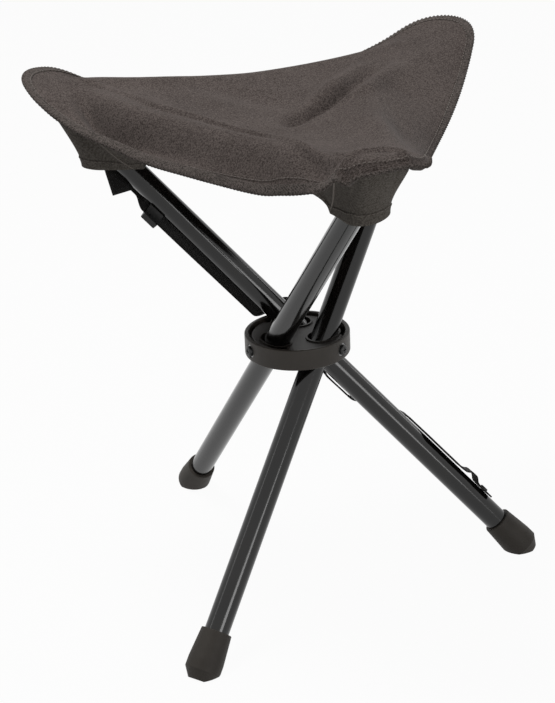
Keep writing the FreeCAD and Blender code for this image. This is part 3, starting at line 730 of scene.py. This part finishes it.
def pocket(leg, cloth, thread):
    """One pocket, its turned and stitched hem, and the corded seams behind its two outer corners."""
    grid, normal = pocket_rings(leg)
    piece = mesh_object("pocket_" + leg, *closed_tube(grid, grid - normal * CLOTH), cloth)
    height = np.linalg.norm(np.diff(grid, axis=0), axis=2).sum(axis=0)
    band_rows = 2 + int(HEM_WIDTH / np.mean(height) * POCKET_ROWS)
    lift = np.full(band_rows, HEM_T)
    lift[-1] = HEM_T * HEM_THIN
    band = grid[:band_rows] + normal[:band_rows] * lift[:, None, None]
    under_band = grid[:band_rows] - normal[:band_rows] * HEM_SINK
    hem = mesh_object("pocket_hem_" + leg, *closed_tube(band, under_band), cloth)
    line = grid[band_rows - 2] + normal[band_rows - 2] * HEM_T
    sewn = hem_stitches(line, normal[band_rows - 2])
    trims = [hem, mesh_object("pocket_stitches_" + leg, *sewn, thread)]
    left = BACK_STEPS + SIDE_STEPS
    for name, corner, back in (("left", left, -1), ("right", left + FRONT_STEPS, 1)):
        seam = straight_seam(grid, normal, corner + back * RIB_BACK, corner + back * RIB_TOP_BACK)
        # The corded seams take the light thread: partly their own colour, partly a painted highlight
        # along their ridge
        trims.append(pocket_rib("pocket_seam_%s_%s" % (name, leg), *seam, thread))
    for each in [piece] + trims:
        collapse_on_leg(each, leg)
    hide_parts("leg_%s_pocket" % leg)
    return piece, trims


def hem_stitches(line, normal):
    """A row of stitches spread evenly round a ring."""
    ring = np.vstack([line, line[:1]])
    run = run_along(ring)
    count = round(run[-1] / EDGE_STITCH_PITCH)
    even = np.linspace(0, run[-1], count, endpoint=False)
    turned = np.vstack([normal, normal[:1]])
    places = along_line(even, run, ring)
    ups = unit(along_line(even, run, turned))
    along = unit(np.roll(places, -1, axis=0) - np.roll(places, 1, axis=0))
    return stitches(places, along, ups)


# Carry strap and its sewn tab

LEG_OUT = PIVOT_AXES[STRAP_LEG]
LEG_UP, LEG_UNDER = leg_ways(STRAP_LEG)
STRAP_STEP = 0.002
# Share of the slider's length, each way from its middle, along which the strap is straight
SLIDER_RUN = 0.65
# Outline of the webbing: its edge's round and its middle, in shares of the thickness and the width
WEB_EDGE, WEB_EDGE_POINTS = 0.6, 7
WEB_HOLLOW = 0.9
WEB_STOPS = (0.36, 0.12, -0.12, -0.36)
# The tab's lower end gets thinner, and has a sewn box with a cross
TAB_STEPS = 26
TAB_END_ROUND, TAB_END_T = 14, 0.35
TAB_BOX_HALF, TAB_BOX_LOW, TAB_BOX_HIGH = 0.007, 0.004, 0.018


def strap_row(at, stand_off, slide, facing):
    """Station of the strap: place along the leg, outwards and under its axis, and its facing."""
    turn = radians(facing)
    out = stand_off * cos(turn) + slide * sin(turn)
    under = stand_off * sin(turn) - slide * cos(turn)
    return at, out, under, facing


def strap_stations():
    """Stations from the tab to the rivet over the foot."""
    on_tube = TUBE_R + STRAP_T / 2
    beside = on_tube + STRAP_STAND_OFF
    tab_out = TUBE_R + TAB_CLEARANCE + TAB_T / 2
    on_tab = tab_out + (TAB_T + STRAP_T) / 2 + SEAM_GAP
    below_tab = TAB_END_BELOW_HEM + STRAP_WIDTH / 2
    hub_out = SCREW_TOP_AT + STRAP_HUB_GAP + STRAP_T / 2 - PIVOT_RADIUS
    hub_pass = RING_HEIGHT / 2 + STRAP_HUB_REACH
    over_hub = 2 * hub_pass
    slider_at = HEM_AT - SLIDER_BELOW_HEM
    foot_top = FOOT_LENGTH - LEG_BELOW
    ends = (STRAP_TOP_BELOW_HEM, below_tab)
    rows = [strap_row(HEM_AT - below, on_tab, 0, TAB_FACING) for below in ends]
    for end in (SLIDER_RUN, -SLIDER_RUN):
        rows.append(strap_row(slider_at + end * SLIDER_LENGTH, beside, 0, STRAP_FACING))
    rows.append(strap_row(over_hub, beside, 0, STRAP_OVER_HUB_FACING))
    rows += [strap_row(at, hub_out, 0, STRAP_HUB_FACING) for at in (hub_pass, -hub_pass)]
    way_down = foot_top + STRAP_ABOVE_FOOT[0][0] * MM + over_hub
    for share, side, gap, past_tube in STRAP_CROSSING:
        stand_off = side * (on_tube + gap * MM)
        at = share * way_down - over_hub
        rows.append(strap_row(at, stand_off, TUBE_R + past_tube * MM, STRAP_LOW_FACING))
    for height, gap in STRAP_ABOVE_FOOT:
        rows.append(strap_row(foot_top + height * MM, -on_tube - gap * MM, 0, STRAP_LOW_FACING))
    return rows


def strap_ways(facing):
    """Directions of a band's face and width, for a facing in degrees."""
    turn = radians(facing)
    return LEG_OUT * cos(turn) + LEG_UNDER * sin(turn), LEG_UNDER * cos(turn) - LEG_OUT * sin(turn)


def strap_frame(at, stations):
    """Middle of the strap at a place along the leg, its face's direction and its width's."""
    for upper, lower in zip(stations, stations[1:]):
        if at >= lower[0]:
            break
    share = min(1.0, max(0.0, (upper[0] - at) / (upper[0] - lower[0])))
    ease = share * share * (3 - 2 * share)
    out, under, facing = (first + (last - first) * ease for first, last in zip(upper[1:], lower[1:]))
    face, width = strap_ways(facing)
    return PIVOTS[STRAP_LEG] + LEG_UP * at + LEG_OUT * out + LEG_UNDER * under, face, width


def band_section(middle, across, face, thick):
    """Rounded outline of the strap's webbing round its middle."""
    edge = thick * WEB_EDGE
    outline = []
    for side in (1, -1):
        for turn in np.linspace(-pi / 2, pi / 2, WEB_EDGE_POINTS):
            reach = STRAP_WIDTH / 2 - edge + edge * cos(turn)
            outline.append((side * reach, side * thick / 2 * sin(turn)))
        outline += [(side * share * STRAP_WIDTH, side * thick / 2 * WEB_HOLLOW) for share in WEB_STOPS]
    return np.array([middle + across * w + face * t for w, t in outline])


def carry_strap(material):
    stations = strap_stations()
    start, end = stations[0][0], stations[-1][0]
    places = np.linspace(start, end, int((start - end) / STRAP_STEP))
    line, sections = [], []
    for at in places:
        middle, face, across = strap_frame(at, stations)
        line.append(middle)
        sections.append(band_section(middle, across, face, STRAP_T))
    piece = mesh_object("carry_strap_web", *swept(sections), material)
    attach(piece, "leg_" + STRAP_LEG)
    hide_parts("carry_strap")


def strap_tab(material, thread):
    """Leaning band that comes out of the pocket; the strap's end is sewn on its back."""
    face, across = strap_ways(TAB_FACING)
    foot = PIVOTS[STRAP_LEG] + LEG_UP * (HEM_AT - TAB_END_BELOW_HEM) + across * TAB_ASIDE
    foot = foot + face * (TUBE_R + TAB_CLEARANCE + TAB_T / 2)
    along = LEG_UP * cos(TAB_LEAN) - across * sin(TAB_LEAN)
    wide = across * cos(TAB_LEAN) + LEG_UP * sin(TAB_LEAN)
    sections = []
    for share in np.linspace(0, 1, TAB_STEPS):
        end_round = sqrt(1 - max(0.0, 1 - TAB_END_ROUND * share) ** 2) * (1 - TAB_END_T) + TAB_END_T
        middle = foot + along * TAB_LENGTH * share
        sections.append(band_section(middle, wide, face, TAB_T * end_round))
    piece = mesh_object("strap_tab_web", *swept(sections), material)
    places, ways = tab_seams(np.array(foot - face * TAB_T / 2), np.array(wide), np.array(along))
    normal = np.tile(-np.array(face), (len(places), 1))
    sewn = mesh_object("strap_tab_stitches", *stitches(places, ways, normal), thread)
    for each in (piece, sewn):
        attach(each, "leg_" + STRAP_LEG)
    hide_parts("strap_tab")


def tab_seams(middle, across, up):
    """Places and directions of a sewn box with a cross in it, on the tab's face."""
    half, low, high = TAB_BOX_HALF, TAB_BOX_LOW, TAB_BOX_HIGH
    corners = [(-half, low), (half, low), (half, high), (-half, high)]
    lines = list(zip(corners, corners[1:] + corners[:1]))
    lines += [(corners[0], corners[2]), (corners[1], corners[3])]
    places, along = [], []
    for (x0, y0), (x1, y1) in lines:
        count = round(hypot(x1 - x0, y1 - y0) / EDGE_STITCH_PITCH)
        way = unit(across * (x1 - x0) + up * (y1 - y0))
        for k in range(count):
            share = (k + 0.5) / count
            places.append(middle + across * (x0 + (x1 - x0) * share) + up * (y0 + (y1 - y0) * share))
            along.append(way)
    return np.array(places), np.array(along)


# Materials

def linear(red, green, blue):
    """A colour given by its 0 to 255 screen values."""
    def channel(value):
        value /= 255
        return value / 12.92 if value <= 0.04045 else ((value + 0.055) / 1.055) ** 2.4
    return (channel(red), channel(green), channel(blue), 1.0)


def grey(value):
    return linear(value, value, value)


# Blender's wave bands at scale 1 are this far apart
WAVE_PITCH = 0.314


class Nodes:
    """A material's node tree, built by short calls."""

    def __init__(self, name):
        self.material = bpy.data.materials.new(name)
        self.material.use_nodes = True
        self.tree = self.material.node_tree
        self.shader = self.tree.nodes["Principled BSDF"]
        self.place = self.tree.nodes.new("ShaderNodeTexCoord").outputs["Object"]

    def feed(self, socket, value):
        """Gives an input a value, or links it to another node's output."""
        if isinstance(value, bpy.types.NodeSocket):
            self.tree.links.new(value, socket)
        else:
            socket.default_value = value

    def add(self, kind, inputs, **settings):
        node = self.tree.nodes.new(kind)
        for key, value in settings.items():
            setattr(node, key, value)
        for key, value in inputs.items():
            self.feed(node.inputs[key], value)
        return node

    def noise(self, scale, detail=3.0, roughness=0.55):
        inputs = {"Scale": scale, "Detail": detail, "Roughness": roughness, "Vector": self.place}
        return self.add("ShaderNodeTexNoise", inputs).outputs["Fac"]

    def turned(self, rotation):
        """Object places turned so that a weave lies along a piece."""
        inputs = {"Rotation": rotation, "Vector": self.place}
        return self.add("ShaderNodeMapping", inputs).outputs["Vector"]

    def wave(self, vector, direction, pitch, distortion):
        inputs = {"Scale": WAVE_PITCH / pitch, "Distortion": distortion, "Detail": 1.0, "Vector": vector}
        return self.add("ShaderNodeTexWave", inputs, bands_direction=direction).outputs["Fac"]

    def math(self, operation, first, second):
        return self.add("ShaderNodeMath", {0: first, 1: second}, operation=operation).outputs[0]

    def mixed(self, *shares):
        """Sum of values, each times its share."""
        total = None
        for value, share in shares:
            term = self.math("MULTIPLY", value, share)
            total = term if total is None else self.math("ADD", total, term)
        return total

    def colour(self, value, *stops):
        """Base colour by a value, between two stops of a place and a colour."""
        node = self.add("ShaderNodeValToRGB", {"Fac": value})
        for element, (at, colour) in zip(node.color_ramp.elements, stops):
            element.position = at
            element.color = colour
        self.feed(self.shader.inputs["Base Color"], node.outputs["Color"])

    def rough(self, value, low, high):
        """Roughness from low to high by a value from 0 to 1."""
        node = self.add("ShaderNodeMapRange", {"To Min": low, "To Max": high, "Value": value})
        self.feed(self.shader.inputs["Roughness"], node.outputs["Result"])

    def bump(self, height, strength, distance):
        node = self.add("ShaderNodeBump", {"Strength": strength, "Distance": distance, "Height": height})
        self.feed(self.shader.inputs["Normal"], node.outputs["Normal"])

    def set(self, **values):
        for key, value in values.items():
            self.feed(self.shader.inputs[key.replace("_", " ")], value)


THREAD_PITCH = 0.0009


def cloth_material(name, dark, light, turn, directions):
    """Heathered canvas: crossing threads of mixed greys, slubs and soft patches of wear."""
    nodes = Nodes(name)
    plan = nodes.turned((0, 0, turn))
    warp, weft = (nodes.wave(plan, direction, THREAD_PITCH, 1.5) for direction in directions)
    heather = nodes.noise(780.0, detail=1.0, roughness=0.8)
    slubs = nodes.noise(300.0, detail=4.0, roughness=0.75)
    patches = nodes.noise(18.0)
    tone = nodes.mixed((warp, 0.08), (weft, 0.08), (heather, 0.60), (slubs, 0.18), (patches, 0.14))
    nodes.colour(tone, (0.43, dark), (0.63, light))
    nodes.bump(nodes.mixed((warp, 0.5), (weft, 0.5), (heather, 1.0), (slubs, 0.5)), 0.3, 0.0005)
    nodes.set(Roughness=0.95, Sheen_Weight=0.05, Sheen_Roughness=0.5, Specular_IOR_Level=0.1)
    return nodes.material


def webbing_material():
    """Black ribbed webbing: ribs across the band and a fine weave along it."""
    nodes = Nodes("webbing_black")
    along = nodes.turned((0, -(pi / 2 - LEG_TILT), 0))
    ribs = nodes.wave(along, "X", 0.0016, 0.4)
    weft = nodes.wave(along, "Y", 0.0011, 0.4)
    fuzz = nodes.noise(800.0, detail=3.0)
    tone = nodes.mixed((ribs, 0.35), (weft, 0.2), (fuzz, 0.45))
    nodes.colour(tone, (0.25, grey(14)), (0.8, linear(44, 42, 40)))
    nodes.bump(nodes.mixed((ribs, 1.0), (weft, 0.5)), 0.5, 0.0005)
    nodes.set(Roughness=0.8, Sheen_Weight=0.08, Specular_IOR_Level=0.2)
    return nodes.material


def thread_material(name, dark, light):
    nodes = Nodes(name)
    twist = nodes.noise(2600.0, detail=2.0)
    nodes.colour(twist, (0.3, dark), (0.7, light))
    nodes.bump(twist, 0.4, 0.0002)
    nodes.set(Roughness=0.7, Sheen_Weight=0.1, Specular_IOR_Level=0.25)
    return nodes.material


def paint_material():
    """Gloss black paint with a faint orange peel and uneven haze."""
    nodes = Nodes("gloss_black_paint")
    haze = nodes.noise(35.0, detail=4.0)
    nodes.colour(haze, (0.3, grey(9)), (0.75, linear(19, 17, 15)))
    nodes.rough(haze, 0.09, 0.17)
    nodes.bump(nodes.noise(900.0, detail=2.0), 0.05, 0.0002)
    nodes.set(Specular_IOR_Level=0.45)
    return nodes.material


def plastic_material(name, dark, light, rough, grain=1400.0, level=0.3):
    """Moulded plastic or rubber: a cloudy tone and a fine moulded grain."""
    nodes = Nodes(name)
    fine = nodes.noise(grain)
    nodes.colour(nodes.noise(28.0), (0.3, dark), (0.7, light))
    nodes.rough(fine, rough - 0.08, rough + 0.1)
    nodes.bump(fine, 0.12, 0.0003)
    nodes.set(Specular_IOR_Level=level)
    return nodes.material


def metal_material(name, dark, light, rough):
    nodes = Nodes(name)
    fine = nodes.noise(700.0)
    nodes.colour(nodes.noise(120.0), (0.3, dark), (0.7, light))
    nodes.rough(fine, rough - 0.08, rough + 0.12)
    nodes.bump(fine, 0.06, 0.0002)
    nodes.set(Metallic=1.0)
    return nodes.material


def finish_cad_nodes():
    """Gives each carried-over CAD node its finish, by a part of its name."""
    black = plastic_material("black_plastic", grey(20), grey(30), 0.42)
    finishes = {
        "_tube": paint_material(),
        "_foot": plastic_material("rubber", linear(44, 40, 36), linear(58, 54, 49), 0.6, 900.0, 0.25),
        "_tip_plug": black,
        "hub_ring": plastic_material("ring_plastic", linear(46, 42, 37), linear(56, 51, 46), 0.45),
        "hub_core": plastic_material("core_plastic", linear(34, 31, 28), linear(46, 42, 39), 0.46),
        "_pivot_screw": metal_material("black_zinc", grey(50), grey(64), 0.38),
        "_pivot_washer": metal_material("plated_steel", grey(112), grey(128), 0.34),
        "_pivot_bush": plastic_material("nylon", linear(196, 193, 184), linear(208, 205, 197), 0.5),
        "_screw_insert": metal_material("brass", linear(180, 144, 78), linear(198, 160, 92), 0.3),
        "strap_slider": black,
        "strap_rivet": metal_material("black_rivet", grey(44), grey(56), 0.4),
    }
    for name, node in frame["nodes"].items():
        for key, material in finishes.items():
            if key in name:
                node.data.materials.clear()
                node.data.materials.append(material)


# Stage, light and camera

CAMERA_AZIMUTH = radians(4.117)
CAMERA_ELEVATION = radians(23.486)
CAMERA_ROLL = radians(-2.563)
CAMERA_DISTANCE = 1.6706
CAMERA_AIM = Vector((-0.01854, -0.00134, -0.01067))
CAMERA_LENS = 93.76
SENSOR = 36.0
WORLD_LIGHT = 0.16
FLOOR_HALF = 4.0
FLOOR_WHITE = 0.96
FLOOR_MATT = 0.62


def seen_rays(tree):
    """One for what the camera or a reflection sees directly, nought for plain light."""
    path = tree.nodes.new("ShaderNodeLightPath")
    rays = path.outputs["Is Camera Ray"]
    for kind in ("Is Glossy Ray", "Is Transmission Ray"):
        either = tree.nodes.new("ShaderNodeMath")
        either.operation = "MAXIMUM"
        tree.links.new(rays, either.inputs[0])
        tree.links.new(path.outputs[kind], either.inputs[1])
        rays = either.outputs[0]
    return rays


def mix_shaders(tree, share, lit, seen, output):
    """What is lit and what is seen, mixed by a share."""
    mix = tree.nodes.new("ShaderNodeMixShader")
    tree.links.new(share, mix.inputs["Fac"])
    tree.links.new(lit.outputs[0], mix.inputs[1])
    tree.links.new(seen.outputs[0], mix.inputs[2])
    tree.links.new(mix.outputs[0], output.inputs["Surface"])


def white_world():
    world = bpy.data.worlds.new("studio")
    bpy.context.scene.world = world
    world.use_nodes = True
    tree = world.node_tree
    light = tree.nodes["Background"]
    seen = tree.nodes.new("ShaderNodeBackground")
    for shader, strength in ((light, WORLD_LIGHT), (seen, 1.0)):
        shader.inputs["Color"].default_value = (1, 1, 1, 1)
        shader.inputs["Strength"].default_value = strength
    mix_shaders(tree, seen_rays(tree), light, seen, tree.nodes["World Output"])


def floor():
    """A pale floor that looks white but keeps part of the object's shadow."""
    material = bpy.data.materials.new("pale_floor")
    material.use_nodes = True
    tree = material.node_tree
    tree.nodes.clear()
    matt = tree.nodes.new("ShaderNodeBsdfDiffuse")
    matt.inputs["Color"].default_value = (FLOOR_MATT, FLOOR_MATT, FLOOR_MATT, 1)
    glow = tree.nodes.new("ShaderNodeEmission")
    glow.inputs["Strength"].default_value = 1.0
    share = tree.nodes.new("ShaderNodeMath")
    share.operation = "MULTIPLY"
    share.inputs[1].default_value = FLOOR_WHITE
    tree.links.new(seen_rays(tree), share.inputs[0])
    mix_shaders(tree, share.outputs[0], matt, glow, tree.nodes.new("ShaderNodeOutputMaterial"))
    ways = ((-1, -1), (1, -1), (1, 1), (-1, 1))
    corners = [(x * FLOOR_HALF, y * FLOOR_HALF, 0) for x, y in ways]
    mesh_object("floor", corners, [(0, 1, 2, 3)], material, smooth=False)


def lamp(name, place, aim, size, power):
    data = bpy.data.lights.new(name, "AREA")
    data.shape = "RECTANGLE"
    data.size, data.size_y = size
    data.energy = power
    light = bpy.data.objects.new(name, data)
    light.location = place
    light.rotation_euler = (Vector(aim) - Vector(place)).to_track_quat("-Z", "Y").to_euler()
    bpy.context.scene.collection.objects.link(light)


def lights():
    lamp("key", (-0.5, 0.15, 2.4), (0, 0, 0.4), (0.65, 0.65), 31)
    lamp("left_strip", (-1.9, -0.5, 1.1), (0, 0, 0.3), (0.16, 1.5), 2)
    lamp("right_strip", (1.5, 1.1, 1.2), (0, 0, 0.3), (0.16, 1.4), 3)
    lamp("front_fill", (1.6, -2.0, 0.8), (0, 0, 0.4), (1.0, 0.8), 14)


def camera():
    azimuth, elevation = CAMERA_AZIMUTH, CAMERA_ELEVATION
    back = Vector((sin(azimuth) * cos(elevation), -cos(azimuth) * cos(elevation), sin(elevation)))
    level = (-back).cross(UPWARDS).normalized()
    upright = level.cross(-back)
    right = cos(CAMERA_ROLL) * level + sin(CAMERA_ROLL) * upright
    up = cos(CAMERA_ROLL) * upright - sin(CAMERA_ROLL) * level
    data = bpy.data.cameras.new("camera")
    data.sensor_fit = "VERTICAL"
    data.sensor_height = SENSOR
    data.lens = CAMERA_LENS
    eye = bpy.data.objects.new("camera", data)
    turn = Matrix((right, up, back)).transposed().to_4x4()
    eye.matrix_world = Matrix.Translation(HUB + CAMERA_AIM + back * CAMERA_DISTANCE) @ turn
    bpy.context.scene.collection.objects.link(eye)
    bpy.context.scene.camera = eye


# The whole scene

def soft_pieces():
    canvas = cloth_material("seat_canvas", linear(52, 45, 42), linear(104, 95, 91), CORNERS["c"], "XY")
    tape = cloth_material("edge_tape", linear(48, 44, 41), linear(104, 96, 92), CORNERS["b"], "XY")
    # Pocket canvas: the seat's cloth in its own colour, lightened with painted light for the shade on the
    # pockets' upright faces
    lining_painted_light = cloth_material("pocket_canvas_painted_light", linear(72, 67, 62), linear(106, 101, 95), CORNERS["a"], "XZ")
    # Light thread for the stitches; on the pockets' corded seams its lightness is also a painted
    # highlight along their ridge
    thread = thread_material("light_thread_and_seam_highlight", linear(90, 83, 78), linear(138, 130, 123))
    dark_thread = thread_material("dark_thread", grey(22), grey(44))
    web = webbing_material()
    for leg in LEGS:
        cloth = seat_corner(leg, canvas)
        binding = binding_corner(leg, tape)
        sewn = edge_stitches(leg, thread)
        piece, trims = pocket(leg, lining_painted_light, thread)
    strap_tab(web, dark_thread)
    carry_strap(web)


def main():
    bpy.context.scene.view_settings.view_transform = "Standard"
    white_world()
    floor()
    lights()
    camera()
    finish_cad_nodes()
    soft_pieces()


main()
